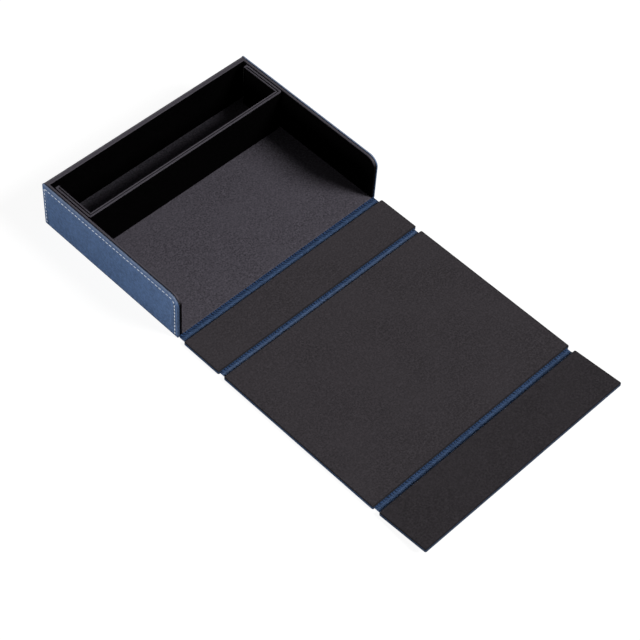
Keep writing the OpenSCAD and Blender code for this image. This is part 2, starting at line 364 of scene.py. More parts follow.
def mark_painted_light(piece, worth):
    """An attribute of painted light from a vertex's place: 1 for a painted highlight, -1 for painted shade,
    0 between.
    """
    mesh = piece.data
    edges = {index for face in mesh.polygons if max(abs(c) for c in face.normal) < FLAT
             for index in face.vertices}
    # the attribute holds painted highlights above 0 and painted shade below 0
    painted_light = mesh.attributes.new("painted_light", "FLOAT", "POINT")
    painted_light.data.foreach_set("value", [clamped(worth(v.co, v.index in edges), -1.0)
                                    for v in mesh.vertices])


def crested(piece, depth):
    """The painted highlight of a lined rim: pale along its top, fading down its rounding."""
    top = max(v.co.z for v in piece.data.vertices)
    return lambda co, edge: max(0.0, 1 - (top - co.z) / depth)


# Shader sums

class Value:
    """A socket in a sum: arithmetic on it adds the Math nodes."""

    def __init__(self, shader, socket):
        self.shader = shader
        self.socket = socket

    def maths(self, operation, *others):
        return self.shader.maths(operation, self, *others)

    def __add__(self, other):
        return self.maths("ADD", other)

    def __mul__(self, other):
        return self.maths("MULTIPLY", other)

    def __sub__(self, other):
        return self.maths("SUBTRACT", other)

    def __rsub__(self, other):
        return self.shader.maths("SUBTRACT", other, self)

    __radd__ = __add__
    __rmul__ = __mul__


class Shader:
    """A material, or a world if one is given, that is built up from sums."""

    def __init__(self, name, world=None):
        self.owner = world or bpy.data.materials.new(f"{name}_finish")
        self.owner.use_nodes = True
        self.tree = self.owner.node_tree
        self.tree.nodes.clear()

    def node(self, kind, settings=None, sockets=None, out=0):
        """Any node: its settings first, then the values or links of its sockets."""
        made = self.tree.nodes.new(kind)
        for key, value in (settings or {}).items():
            setattr(made, key, value)
        for key, value in (sockets or {}).items():
            if isinstance(value, Value):
                self.tree.links.new(value.socket, made.inputs[key])
            else:
                made.inputs[key].default_value = value
        return Value(self, made.outputs[out]) if made.outputs else None

    def maths(self, operation, *values):
        return self.node("ShaderNodeMath", {"operation": operation}, dict(enumerate(values)))

    def place(self):
        return self.node("ShaderNodeTexCoord", out="Object")

    def part(self, vector, axis):
        return self.node("ShaderNodeSeparateXYZ", sockets={0: vector}, out=axis)

    def attribute(self, name):
        return self.node("ShaderNodeAttribute", {"attribute_name": name}, out="Fac")

    def grain(self, place, size, detail=2.0, rough=0.5):
        """Noise whose lumps are about that wide, in metres, from 0 to 1."""
        return self.node("ShaderNodeTexNoise", sockets={
            "Vector": place, "Scale": 1 / size, "Detail": detail, "Roughness": rough})

    def cells(self, place, size, feature="F1"):
        return self.node("ShaderNodeTexVoronoi", {"feature": feature},
                         {"Vector": place, "Scale": 1 / size})

    def step(self, value, low, high, to_low=0.0, to_high=1.0):
        return self.node("ShaderNodeMapRange", {"interpolation_type": "SMOOTHSTEP"}, {
            "Value": value, "From Min": low, "From Max": high,
            "To Min": to_low, "To Max": to_high})

    def mix(self, factor, first, second):
        """Two colours mixed, by the sockets that the Mix node has for colours."""
        colours = {6: first if isinstance(first, Value) else (*first, 1),
                   7: second if isinstance(second, Value) else (*second, 1)}
        return self.node("ShaderNodeMix", {"data_type": "RGBA"}, {0: factor, **colours}, out=2)

    def bump(self, height, strength, distance, normal=None):
        sockets = {"Height": height, "Strength": strength, "Distance": distance}
        if normal:
            sockets["Normal"] = normal
        return self.node("ShaderNodeBump", sockets=sockets)

    def surface(self, **sockets):
        names = {key.replace("_", " "): value for key, value in sockets.items()}
        shade = self.node("ShaderNodeBsdfPrincipled", sockets=names)
        self.node("ShaderNodeOutputMaterial", sockets={"Surface": shade})
        return self.owner


def tint(colour, share):
    """A colour made lighter or darker by a share."""
    return tuple(min(1.0, c * share) for c in colour)


def whitened(colour, share):
    """A colour made paler by adding white, used for painted highlights."""
    return tuple(min(1.0, c + share) for c in colour)


def leatherette(name, colour, grain=0.62 * MM, hatch=0.0):
    """Pebbled leatherette: fine cells with creases between them, mottled, with painted highlights and
    painted shade from the painted-light attribute.
    """
    # How pale its painted highlights are, how dark and how fully its painted shade darkens it, and how it
    # shines
    if hatch:
        pale, dark, shade_strength, shine = 0.075, (0.08, 0.16, 0.27), 0.7, 0.02
    else:
        pale, dark, shade_strength, shine = 0.19, (0.14, 0.14, 0.14), 0.85, 0.08
    s = Shader(name)
    place = s.place()
    crease = s.cells(place, grain, "DISTANCE_TO_EDGE")
    pebble = s.step(crease, 0.0, 0.22)
    mottle = s.grain(place, 2.2 * MM, detail=4.0, rough=0.6)
    cloud = s.grain(place, 22 * MM)
    painted_light = s.attribute("painted_light")
    painted_highlight = s.maths("MAXIMUM", painted_light, 0.0)
    painted_shade = s.maths("MAXIMUM", 0.0 - painted_light, 0.0)
    colour_1 = s.mix(s.step(mottle, 0.3, 0.7), tint(colour, 0.7), tint(colour, 1.3))
    colour_2 = s.mix(pebble * 0.45 + 0.55, tint(colour, 0.6), colour_1)
    colour_3 = s.mix(s.step(cloud, 0.3, 0.7) * 0.18, colour_2, tint(colour, 1.35))
    height = pebble * 0.7 + mottle * 0.5
    # Painted highlight where the attribute is above 0, painted shade where it is below 0
    colour_4 = s.mix(painted_highlight * 0.8, colour_3, whitened(colour, pale))
    colour_5 = s.mix(painted_shade * shade_strength, colour_4, [c * share for c, share in zip(colour, dark)])
    if hatch:
        # The tape's creases are darker, and darker still under painted shade
        weave = hatching(s, place, hatch)
        colour_5 = s.mix(s.maths("MULTIPLY", weave, painted_shade * 0.75 + 0.2), colour_5, tint(colour, 0.05))
        height = height - weave * 0.9
    rough = 0.45 + mottle * 0.16 - painted_highlight * 0.06
    return s.surface(Base_Color=colour_5, Roughness=rough, Specular_IOR_Level=shine,
                     Normal=s.bump(height, 0.45, 0.12 * MM))


def hatching(s, place, pitch):
    """Short slanting creases across a strip, from 0 to 1."""
    slant, wander = 0.8, 9.0
    run = s.part(place, X) + s.part(place, Y) * slant
    sway = s.grain(place, 4 * MM, detail=1.0)
    return s.step(s.maths("SINE", run * (2 * math.pi / pitch) + sway * wander), 0.1, 0.9)


def microfibre(name, colour, rim=None, contrast=1.0):
    """Short brushed nap: specks of fibre over soft patches, with a painted highlight on the edges if a rim
    colour is given, and otherwise painted shade where the attribute is below 0.
    """
    s = Shader(name)
    place = s.place()
    speck = s.grain(place, 1.5 * MM, detail=3.0, rough=0.7)
    tuft = s.grain(place, 4 * MM, detail=1.0)
    patch = s.grain(place, 35 * MM)
    colour_1 = s.mix(s.step(speck, 0.3, 0.7), tint(colour, 1 - 0.65 * contrast),
                     tint(colour, 1 + 0.7 * contrast))
    colour_2 = s.mix(s.step(tuft, 0.3, 0.7) * 0.4, colour_1, tint(colour, 0.75))
    colour_3 = s.mix(s.step(patch, 0.3, 0.7) * 0.35, colour_2, tint(colour, 1.2))
    # With a rim colour, a painted highlight on the rims; without one, painted shade where the attribute is
    # below 0
    if rim:
        painted_light = s.maths("MULTIPLY", s.attribute("painted_light"), s.step(speck, 0.2, 0.6, 0.75, 1.0))
        colour_3 = s.mix(painted_light, colour_3, rim)
    else:
        painted_shade = s.maths("MAXIMUM", 0.0 - s.attribute("painted_light"), 0.0)
        colour_3 = s.mix(painted_shade * 0.75, colour_3, tint(colour, 0.15))
    height = speck + tuft * 0.5
    return s.surface(Base_Color=colour_3, Roughness=0.95 - speck * 0.1,
                     Specular_IOR_Level=0.0 if rim else 0.12, Normal=s.bump(height, 0.5, 0.12 * MM))


def spun_thread(name, colour):
    """Two-ply sewing thread with its twist."""
    pitch, slant = 0.5 * MM, 0.6
    s = Shader(name)
    place = s.place()
    x, y, z = (s.part(place, axis) for axis in (X, Y, Z))
    twist = s.maths("SINE", (y + z + x * slant) * (2 * math.pi / pitch)) * 0.5 + 0.5
    fluff = s.grain(place, 0.25 * MM)
    shade = s.mix(twist * 0.4 + fluff * 0.2, colour, tint(colour, 0.62))
    return s.surface(Base_Color=shade, Roughness=0.7 - twist * 0.08, Specular_IOR_Level=0.3,
                     Normal=s.bump(twist, 0.5, 0.05 * MM))


def greyboard(name, colour):
    """Pressed grey board with flecks and fibres."""
    s = Shader(name)
    place = s.place()
    fleck = s.grain(place, 0.5 * MM, detail=4.0)
    fibre = s.grain(place, 3 * MM, detail=4.0, rough=0.7)
    shade = s.mix(s.step(fleck, 0.35, 0.65), tint(colour, 0.8), tint(colour, 1.15))
    shade = s.mix(s.step(fibre, 0.4, 0.7) * 0.4, shade, tint(colour, 1.3))
    return s.surface(Base_Color=shade, Roughness=0.85 + fleck * 0.1,
                     Normal=s.bump(fleck + fibre, 0.4, 0.08 * MM))


def plated_metal(name, colour):
    """Nickel plating with a fine turned grain."""
    s = Shader(name)
    place = s.place()
    grain = s.grain(place, 0.3 * MM, detail=3.0)
    haze = s.grain(place, 5 * MM)
    shade = s.mix(haze * 0.4, colour, tint(colour, 0.8))
    return s.surface(Base_Color=shade, Metallic=1.0, Roughness=0.24 + grain * 0.14,
                     Normal=s.bump(grain, 0.15, 0.02 * MM))


MAKERS = {
    "leatherette": lambda name, c: leatherette(name, c.navy),
    "hinge_tape": lambda name, c: leatherette(name, c.tape, 0.8 * MM, hatch=2.3 * MM),
    "lining": lambda name, c: microfibre(name, c.lining, contrast=0.88),
    "panel_lining": lambda name, c: microfibre(name, c.panel_lining, contrast=0.58),
    # The flap's lining is the panel lining darkened as painted shade
    "flap_lining": lambda name, c: microfibre(name, tint(c.panel_lining, 0.8), contrast=0.58),
    "wall_lining": lambda name, c: microfibre(name, c.wall, c.rim),
    "back_lining": lambda name, c: microfibre(name, c.panel_lining, c.rim),
    "divider_lining": lambda name, c: microfibre(name, c.wall, c.rim),
    "thread": lambda name, c: spun_thread(name, c.thread),
    "greyboard": lambda name, c: greyboard(name, c.board),
    "black_card": lambda name, c: greyboard(name, tint(c.board, 0.01)),
    "plated_metal": lambda name, c: plated_metal(name, c.metal),
}


def finish_of(kind):
    """A finish by its name, made the first time that it is asked for."""
    made = bpy.data.materials.get(f"{kind}_finish")
    return made or MAKERS[kind](kind, bpy.context.scene.chest_finishes)


# The pieces

def side_cover(name, side):
    """Leatherette over a side wall's card, with the groove that its stitching lies in."""
    sizes = bpy.context.scene.chest_sizes
    low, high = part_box(f"{name}_side_cover")
    card_low, card_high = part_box(f"{name}_side_card")
    outer, inner = (high.x, low.x) if side > 0 else (low.x, high.x)
    spare = 6 * MM  # below the foot, so that the groove runs out at the underside
    piece = block(f"{name}_cover_leatherette", (low.x, low.y, -spare), high)
    rounded(piece, corner(low.y, high.z), sizes.corner_radius, 12)
    rounded(piece, corner(high.y, high.z), sizes.back_radius, 4)
    rounded(piece, lambda e: at(e, X, outer), sizes.cover_round, 5)
    half_groove, puff, puff_width = 0.4 * MM, 0.03 * MM, 1.2 * MM
    to_groove = sizes.seam_inset - sizes.cover_round - half_groove
    level_share = 0.6
    first = sizes.back_radius - sizes.cover_round - THIN
    ringed(piece, lambda f: facing(f, X, side), (first, 0))
    bpy.ops.mesh.remove_doubles(threshold=0.3 * MM)
    # Level, down towards the groove, down and up its two sides, and up to the middle
    ringed(piece, lambda f: facing(f, X, side) and f.calc_area() > BROAD,
           (to_groove * level_share - first, 0), (to_groove * (1 - level_share), -puff),
           (half_groove, -sizes.groove_depth), (half_groove, sizes.groove_depth),
           (puff_width, puff))
    cut(piece, (0, 0, sizes.seam_foot), (0, 0, 1))
    cut(piece, (0, 0, low.z), (0, 0, 1), drop=True)
    pick(piece, "VERT", lambda v: abs(v.co.z - low.z) < NEAR
         and abs(v.co.x - outer) < 2 * sizes.groove_depth
         and low.y + sizes.cover_round + NEAR < v.co.y < high.y - sizes.cover_round - NEAR)
    bpy.ops.transform.resize(value=(0, 1, 1), center_override=(outer, 0, 0))
    foot_round = 0.5 * MM
    rounded(piece, lambda e: at(e, Z, low.z) and not at(e, X, inner), foot_round, 3)
    rounded(piece, lambda e: at(e, X, inner) and not at(e, Z, low.z), sizes.cover_inner_round, 4)
    for y, way in ((low.y, 1), (high.y, -1)):
        soft_foot(piece, y, way, low.z, sizes.foot_radius)
    ringed(piece, lambda f: facing(f, X, -side) and at(f, X, inner), (THIN, 0))
    extruded((side * (card_high.x - card_low.x), 0, 0))

    # Painted light on the cover: painted shade along the seam beside the lining and on its edges lower
    # down, and a painted highlight along the crest, weaker on the outer rounding
    seam = sizes.seam_width_right if side > 0 else sizes.seam_width
    seam_fade = 0.2 * MM
    lower_shade, outer_highlight = -0.6, 0.3

    def worth(co, edge):
        in_from = abs(co.x - inner)
        if in_from >= seam and not edge:
            return 0.0
        up = clamped(1 - (high.z - co.z) / sizes.corner_radius)
        crest = between(outer_highlight, 1.0, abs(co.x - outer) / sizes.cover_round)
        return min(between(lower_shade, 1.0, up), crest, (in_from - seam) / seam_fade)

    finished(piece, "tray_box", "leatherette",
             [f"{name}_side_cover"], worth=worth)


def soft_foot(piece, y, way, z, radius):
    """Rounds a lower corner of a side cover, seen from the side."""
    middle_y, middle_z = y + way * radius, z + radius
    cuts = (0.3, 0.65, 1.0)  # shares of the radius
    for share in cuts:
        cut(piece, (0, y + way * radius * share, 0), (0, 1, 0))
        cut(piece, (0, 0, z + radius * share), (0, 0, 1))
    only(piece)
    for vertex in piece.data.vertices:
        out_y, out_z = (vertex.co.y - middle_y) * -way, middle_z - vertex.co.z
        reach = math.hypot(out_y, out_z)
        if min(out_y, out_z) > 0 and reach > radius:
            vertex.co.y = middle_y - way * out_y * radius / reach
            vertex.co.z = middle_z - out_z * radius / reach


def seam_route(low, high, sizes):
    """The stitching's route on a side cover as (length, point and direction at a length)."""
    top = high.z - sizes.seam_inset
    back = high.y - sizes.seam_inset_back
    front = low.y + sizes.seam_inset
    radius = sizes.corner_radius - sizes.seam_inset
    turn_y, turn_z = front + radius, top - radius
    foot = low.z + sizes.seam_foot
    lengths = [top - foot, back - turn_y, radius * math.pi / 2, turn_z - foot]

    def place(run):
        if run < lengths[0]:
            return (back, foot + run), (0, 1)
        run -= lengths[0]
        if run < lengths[1]:
            return (back - run, top), (-1, 0)
        run -= lengths[1]
        if run < lengths[2]:
            angle = math.pi / 2 + run / radius
            return ((turn_y + radius * math.cos(angle), turn_z + radius * math.sin(angle)),
                    (-math.sin(angle), math.cos(angle)))
        run -= lengths[2]
        return (front, turn_z - run), (0, -1)

    return sum(lengths), place


def one_stitch(sizes):
    """A short run of thread along Y, flat on its underside and arched between its holes."""
    only()
    flattening = 0.7
    bpy.ops.mesh.primitive_uv_sphere_add(segments=8, ring_count=6, radius=0.5,
                                         rotation=(math.pi / 2, 0, 0))
    stitch = bpy.context.object
    stitch.scale = (sizes.thread_width, sizes.thread_width * flattening, sizes.thread_width)
    bpy.ops.object.transform_apply()
    reach = (sizes.stitch_length - sizes.thread_width) / 2
    for way in (-1, 1):
        pick(stitch, "VERT", lambda v: v.co.y * way > NEAR)
        bpy.ops.transform.translate(value=(0, way * reach, 0))
    only(stitch)
    return stitch


def side_stitching(name, side):
    """The stitches along the rear, top and front edges of a side cover."""
    sizes = bpy.context.scene.chest_sizes
    low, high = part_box(f"{name}_side_cover")
    outer = high.x if side > 0 else low.x
    length, place = seam_route(low, high, sizes)
    count = round(length / sizes.stitch_pitch)
    model = one_stitch(sizes)
    above_groove = 0.1 * MM
    depth = outer - side * (sizes.groove_depth - above_groove)
    slant = math.radians(5) * side
    out = Vector((side, 0, 0))
    copies = []
    for i in range(count):
        (y, z), (dy, dz) = place((i + 0.5) * length / count)
        run = Vector((0, dy * math.cos(slant) - dz * math.sin(slant),
                      dy * math.sin(slant) + dz * math.cos(slant)))
        copy = model.copy()
        copy.data = model.data.copy()
        copy.matrix_world = Matrix.Translation((depth, y, z)) @ Matrix(
            (out.cross(run), run, out)).transposed().to_4x4()
        bpy.context.collection.objects.link(copy)
        copies.append(copy)
    bpy.data.objects.remove(model)
    only(copies[0])
    for copy in copies:
        copy.select_set(True)
    bpy.ops.object.join()
    piece = bpy.context.object
    piece.name = piece.data.name = f"{name}_cover_stitching"
    bpy.ops.object.transform_apply()
    pick(piece, "FACE", lambda f: True)
    bpy.ops.mesh.normals_make_consistent(inside=False)
    finished(piece, "tray_box", "thread", angle=60)


def wall_lining(name, side):
    """Lining over a side wall's board: the inner face, turned over the top and the front edge."""
    sizes = bpy.context.scene.chest_sizes
    low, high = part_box(f"{name}_wall_lining")
    board_low, board_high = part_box(f"{name}_wall_board")
    inner, outer = (low.x, high.x) if side > 0 else (high.x, low.x)
    board_depth = board_high.x - board_low.x
    piece = block(f"{name}_wall_microfibre", low, high)
    rounded(piece, corner(low.y, high.z), sizes.corner_radius, 12)

    def on_rim(edge):
        return not at(edge, Y, high.y) and not at(edge, Z, low.z)

    rounded(piece, lambda e: at(e, X, inner) and on_rim(e), sizes.rim_round, 5)
    rounded(piece, lambda e: at(e, X, outer) and on_rim(e), sizes.rim_seam, 4)
    pushed(piece, lambda f: facing(f, X, side) and f.calc_area() > BROAD,
           (-side * board_depth, 0, 0))

    # Painted shade in the seam up to the first share, and a painted highlight on the rim from the second
    # one on
    shade_share, highlight_share = 0.2, 0.6
    # Round the front corner the painted highlight thins by so much from the top down, to the least of it
    at_top, thinning, least = 1.3, 1.7, 0.03

    def worth(co, edge):
        short = max(0.0, sizes.rim_round - abs(co.x - inner))
        fall = sizes.rim_round - math.sqrt(max(0.0, sizes.rim_round ** 2 - short ** 2))
        clear = abs(co.x - outer) / sizes.rim_seam
        down = (high.z - co.z) / sizes.corner_radius
        return (max(0.0, 1 - fall / sizes.rim_fade)
                * clamped((clear - shade_share) / (highlight_share - shade_share))
                * clamped(at_top - thinning * down, least))

    finished(piece, "tray_box", "wall_lining",
             [f"{name}_wall_lining"], worth=worth)


def back_lining(name, node, board_node, inward):
    """Lining over one of the back wall's two boards: a face, turned over the top edge."""
    low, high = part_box(node)
    face_y, far_y = (low.y, high.y) if inward > 0 else (high.y, low.y)
    sheet = high.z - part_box(board_node)[1].z
    crest, far_round = sheet * 0.9, 0.12 * MM
    sheet_y = face_y + inward * sheet
    piece = block(name, (low.x, min(face_y, sheet_y), low.z), (high.x, max(face_y, sheet_y), high.z))
    cut(piece, (0, 0, high.z - sheet), (0, 0, 1))
    pushed(piece, lambda f: facing(f, Y, inward) and f.calc_center_median().z > high.z - sheet,
           (0, far_y - sheet_y, 0))
    rounded(piece, corner(face_y, high.z), crest, 4)
    rounded(piece, corner(far_y, high.z), far_round, 2)
    finish, slot = (("wall_lining", "wall_microfibre") if inward > 0
                    else ("back_lining", "microfibre"))
    finished(piece, "tray_box", finish, [node], worth=crested(piece, crest))


def floor_lining():
    """The sheet on the floor of the box, with a soft front edge."""
    sizes = bpy.context.scene.chest_sizes
    piece = block("floor_microfibre", FLOOR_LOW, FLOOR_HIGH)
    rounded(piece, corner(FLOOR_LOW.y, FLOOR_HIGH.z), sizes.lining_round, 3)
    finished(piece, "tray_box", "lining", ["floor_lining"])


def flap_lift():
    """The turn that lifts the flap from lying flat to how it rests, from the joint that it turns on."""
    joint = next(j for j in frame["joints"] if j["name"] == "flap_fold")
    middle = Matrix.Translation(joint["pos_m"])
    rise = Matrix.Rotation(math.radians(-joint["range_deg"][0]), 4, joint["axis"])
    return middle @ rise @ middle.inverted()


def level_box(node, lift):
    """A node's corners with the flap's lift taken out, so that the panel lies level."""
    back = lift.inverted()
    points = [back @ v.co for v in frame["nodes"][node].data.vertices]
    return Vector(map(min, zip(*points))), Vector(map(max, zip(*points)))


def panel(name, body, lift):
    """One panel: leatherette turned up round the board, and the lining laid over both."""
    sizes = bpy.context.scene.chest_sizes
    low, high = level_box(f"{name}_cover", lift)
    board_low, board_high = level_box(f"{name}_board", lift)
    lining_low, lining_high = level_box(f"{name}_lining", lift)
    cover = block(f"{name}_leatherette", low, (high.x, high.y, low.z + LEATHER))
    rounded(cover, lambda e: along(e, Z), sizes.panel_radius, 6)
    ringed(cover, lambda f: facing(f, Z, 1), (LEATHER, 0))
    pushed(cover, lambda f: facing(f, Z, 1) and not within(f, board_low, board_high),
           (0, 0, high.z - low.z - LEATHER))
    rounded(cover, lambda e: at(e, Z, low.z) and not within(e, board_low, board_high),
            sizes.panel_round, 4)
    lining = block(f"{name}_microfibre", lining_low, lining_high)
    rounded(lining, lambda e: along(e, Z), sizes.panel_radius - (lining_low.x - low.x), 4)
    rounded(lining, lambda e: at(e, Z, lining_high.z), sizes.lining_round, 3)
    ring = 0.5 * MM
    ringed(lining, lambda f: facing(f, Z, 1), (ring, 0))
    # The lining is cut so that a band of painted shade can lie along its front edge
    front_shade_y = lining_low.y + sizes.lining_round + ring
    cut(lining, (0, front_shade_y + ring, 0), (0, 1, 0))
    for piece in (cover, lining):
        only(piece)
        piece.data.transform(lift)
    back = lift.inverted()
    # Painted light: a painted highlight along the cover's rear edge, painted shade on its other sides
    # (heavier towards the top), and painted shade on the lining's edges and front band
    rear_highlight = 0.7 if name == "flap" else 0.4
    faint_shade, full_shade, shade_band = -0.4, -0.95, -0.7

    def cover_worth(co, edge):
        level = back @ co
        up = (level.z - low.z) / (high.z - low.z)
        if level.z < low.z + NEAR:
            return 0.0
        if level.y > high.y - LEATHER - NEAR:
            return rear_highlight
        return full_shade if name == "flap" or level.y < low.y + LEATHER else between(faint_shade, full_shade, up)

    def lining_worth(co, edge):
        level = back @ co
        if name != "flap" and level.y < front_shade_y + NEAR:
            return -1.0 if edge else shade_band
        return -float(edge and level.y < lining_high.y - sizes.lining_round - NEAR)

    finished(cover, body, "leatherette", [f"{name}_cover"], worth=cover_worth)
    finished(lining, body, "flap_lining" if name == "flap" else "panel_lining",
             [f"{name}_lining"], worth=lining_worth)


def within(item, low, high):
    """True for an edge or face that lies in a box's outline, seen from above."""
    return all(low.x - NEAR < v.co.x < high.x + NEAR and low.y - NEAR < v.co.y < high.y + NEAR
               for v in item.verts)


def hinge_strip(name, near_y, far_y, low_z, high_z, lift, fillet=0.0, painted_light_worth=None):
    """A hinge strip in rows across, so that it bends, uneven along it and turned up at both sides."""
    sizes = bpy.context.scene.chest_sizes
    half_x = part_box("lid_hinge_cover")[1].x
    rows_along, wave_x, wave_y = 60, 9 * MM, 3 * MM
    piece = block(name + "_sheet", (-half_x, far_y, low_z), (half_x, near_y, high_z))
    rows(piece, Y, sizes.strip_rows)
    rows(piece, X, rows_along)
    only(piece)
    for vertex in piece.data.vertices:
        x, y, z = vertex.co
        share = (near_y - y) / (near_y - far_y)
        if fillet and z > (low_z + high_z) / 2:
            side = min(near_y - y, y - far_y)
            if side < fillet:
                vertex.co.z += fillet - math.sqrt(max(0.0, fillet ** 2 - (fillet - side) ** 2))
            vertex.co.z += sizes.strip_wave * noise.noise(Vector((x / wave_x, y / wave_y, 0)))
        lifted = lift @ vertex.co
        vertex.co = vertex.co.lerp(lifted, share * share * (3 - 2 * share))
    finish = "hinge_tape" if fillet else "leatherette"
    # Painted shade and painted highlights across the tape, from valley()
    finished(piece, None, finish, [name], worth=lambda co, edge: valley(
        (near_y - co.y) / (near_y - far_y), *painted_light_worth) if painted_light_worth else 0.0)
    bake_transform(piece)


def valley(share, near, middle, far, reach):
    """The painted light across a hinge strip: near the piece behind it, from its reach on, and at its far
    side.
    """
    near_end, far_start = 0.1, 0.75
    rise = clamped((share - near_end) / (reach - near_end))
    fall = max(0.0, (share - far_start) / (1 - far_start))
    return near + (middle - near) * rise + (far - middle) * fall


def fold(name, near_node, far_node, lift, painted_light_worth):
    """The outer sheet and the inner tape of one fold."""
    sizes = bpy.context.scene.chest_sizes
    near_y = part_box(near_node)[0].y
    far_y = level_box(far_node, lift)[1].y
    tape_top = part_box("lid_hinge_tape")[1].z
    hinge_strip(f"{name}_hinge_cover", near_y, far_y, 0, LEATHER, lift)
    hinge_strip(f"{name}_hinge_tape", near_y, far_y, LEATHER, tape_top, lift,
                sizes.strip_fillet, painted_light_worth)


def edge_tape():
    """The front tape's upper part, turned up over the front edge of the base board."""
    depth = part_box("base_board")[0].y - FRONT_Y
    # The whole turned-up tape is darkened as painted shade
    turn, painted_light_worth = depth * 0.6, -0.85
    piece = block("front_edge_tape", (-WALL_X, FRONT_Y, LEATHER), (WALL_X, FRONT_Y + depth, FLOOR_LOW.z))
    rounded(piece, corner(FRONT_Y, FLOOR_LOW.z), turn, 3)
    finished(piece, "tray_box", "hinge_tape", worth=lambda co, edge: painted_light_worth)


def divider_wrap():
    """The divider's outer wrap over its boards: a front, two wings and the lips folded in behind."""
    sizes = bpy.context.scene.chest_sizes
    low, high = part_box("divider_wrap")
    board_low, board_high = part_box("divider_front_board")
    lip_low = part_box("divider_right_lip")[0]
    wall = board_high.y - low.y
    fold_round = wall * 0.3
    wrap = board_low.y - low.y
    inner_x = high.x - wall
    piece = block("divider_outer_wrap", (-inner_x, low.y, low.z), (inner_x, low.y + wall, high.z))
    for side in SIDES.values():
        pushed(piece, lambda f: facing(f, X, side), (side * wall, 0, 0))
    pushed(piece, lambda f: facing(f, Y, 1) and abs(f.calc_center_median().x) > inner_x,
           (0, lip_low.y - low.y - wall, 0))
    pushed(piece, lambda f: facing(f, Y, 1) and abs(f.calc_center_median().x) > inner_x,
           (0, high.y - lip_low.y, 0))
    for side in SIDES.values():
        pushed(piece, lambda f: facing(f, X, -side) and f.calc_center_median().y > lip_low.y
               and f.calc_center_median().x * side > 0, (side * (lip_low.x - inner_x), 0, 0))
    pick(piece, "FACE", lambda f: True)
    bpy.ops.mesh.remove_doubles(threshold=NEAR)
    bpy.ops.mesh.normals_make_consistent(inside=False)
    rounded(piece, lambda e: along(e, Z) and at(e, Y, low.y) and abs(abs(e.verts[0].co.x) - high.x) < NEAR,
            sizes.divider_radius, 6)
    rounded(piece, lambda e: along(e, Z) and at(e, Y, high.y), fold_round, 3)
    rounded(piece, lambda e: at(e, Z, high.z)
            and any(abs(f.normal.z) < 1 - STRAIGHT for f in e.link_faces), wrap, 4)
    ringed(piece, lambda f: facing(f, Z, -1), (wrap, 0))
    pushed(piece, lambda f: facing(f, Z, -1) and not on_outline(f, wall),
           (0, 0, board_high.z - low.z))
    finished(piece, "divider", "divider_lining", ["divider_wrap"],
             worth=crested(piece, wrap))


def on_outline(face, wall):
    """True for a face of the thin ring along the divider's outline."""
    thin_share = 0.4
    return face.calc_area() / max(e.calc_length() for e in face.edges) < wall * thin_share


def divider_liner(name):
    """A loose liner inside the divider, with a soft rim."""
    low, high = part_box(f"divider_{name}_liner")
    piece = block(f"divider_{name}_liner_sheet", low, high)
    rim = 0.42 * min(high.x - low.x, high.y - low.y)
    rounded(piece, lambda e: at(e, Z, high.z), rim, 5)
    finished(piece, "divider", "divider_lining",
             [f"divider_{name}_liner"], worth=crested(piece, rim))


# Operators

class CHEST_OT_side_covers(bpy.types.Operator):
    """Dress the side walls in stitched leatherette"""

    bl_idname = "chest.side_covers"
    bl_label = "Side covers"

    def execute(self, context):
        for name, side in SIDES.items():
            side_cover(name, side)
            side_stitching(name, side)
        return {"FINISHED"}


class CHEST_OT_wall_linings(bpy.types.Operator):
    """Line the side walls and both faces of the back wall"""

    bl_idname = "chest.wall_linings"
    bl_label = "Wall linings"

    def execute(self, context):
        for name, side in SIDES.items():
            wall_lining(name, side)
        back_lining("back_wall_microfibre", "back_wall_lining", "back_wall_board", 1)
        back_lining("back_outer_microfibre", "back_outer_lining", "back_outer_board", -1)
        return {"FINISHED"}


class CHEST_OT_floor(bpy.types.Operator):
    """Line the floor of the box and tape the front edge of its board"""

    bl_idname = "chest.floor"
    bl_label = "Floor lining"

    def execute(self, context):
        floor_lining()
        edge_tape()
        return {"FINISHED"}


class CHEST_OT_panels(bpy.types.Operator):
    """Cover and line the front panel, the lid and the flap"""

    bl_idname = "chest.panels"
    bl_label = "Panels"

    def execute(self, context):
        flat = Matrix.Identity(4)
        panel("front", "front_panel", flat)
        panel("lid", "lid_panel", flat)
        panel("flap", "flap", flap_lift())
        return {"FINISHED"}


class CHEST_OT_folds(bpy.types.Operator):
    """Lay the bending strips between the box and the panels"""

    bl_idname = "chest.folds"
    bl_label = "Hinge strips"

    def execute(self, context):
        flat = Matrix.Identity(4)
        # A tape's painted light at its rear, middle and front (painted shade below 0, painted highlight
        # above), and how far the rear's reaches
        fold("front", "base_cover", "front_cover", flat,
             (-1.0, 0.1, 0.0, 0.55))
        fold("lid", "front_cover", "lid_cover", flat,
             (-0.95, 0.45, 0.1, 0.4))
        fold("flap", "lid_cover", "flap_cover", flap_lift(),
             (-0.85, 0.1, 0.5, 0.34))
        return {"FINISHED"}


class CHEST_OT_divider(bpy.types.Operator):
    """Wrap and line the loose divider"""

    bl_idname = "chest.divider"
    bl_label = "Divider"

    def execute(self, context):
        divider_wrap()
        for name in ("front", "left", "right"):
            divider_liner(name)
        return {"FINISHED"}


class CHEST_OT_inner_parts(bpy.types.Operator):
    """Give the boards, cards, magnets, discs and the base cover their finishes"""

    bl_idname = "chest.inner_parts"
    bl_label = "Inner parts"

    def execute(self, context):
        kinds = {"cover": "leatherette", "tape": "hinge_tape", "lining": "lining",
                 "liner": "lining", "wrap": "lining", "divider": "black_card",
                 "discs": "plated_metal", "magnets": "plated_metal"}
        for name, node in frame["nodes"].items():
            kind = next((kinds[word] for word in kinds if word in name), "greyboard")
            node.data.materials.clear()
            node.data.materials.append(finish_of(kind))
        return {"FINISHED"}


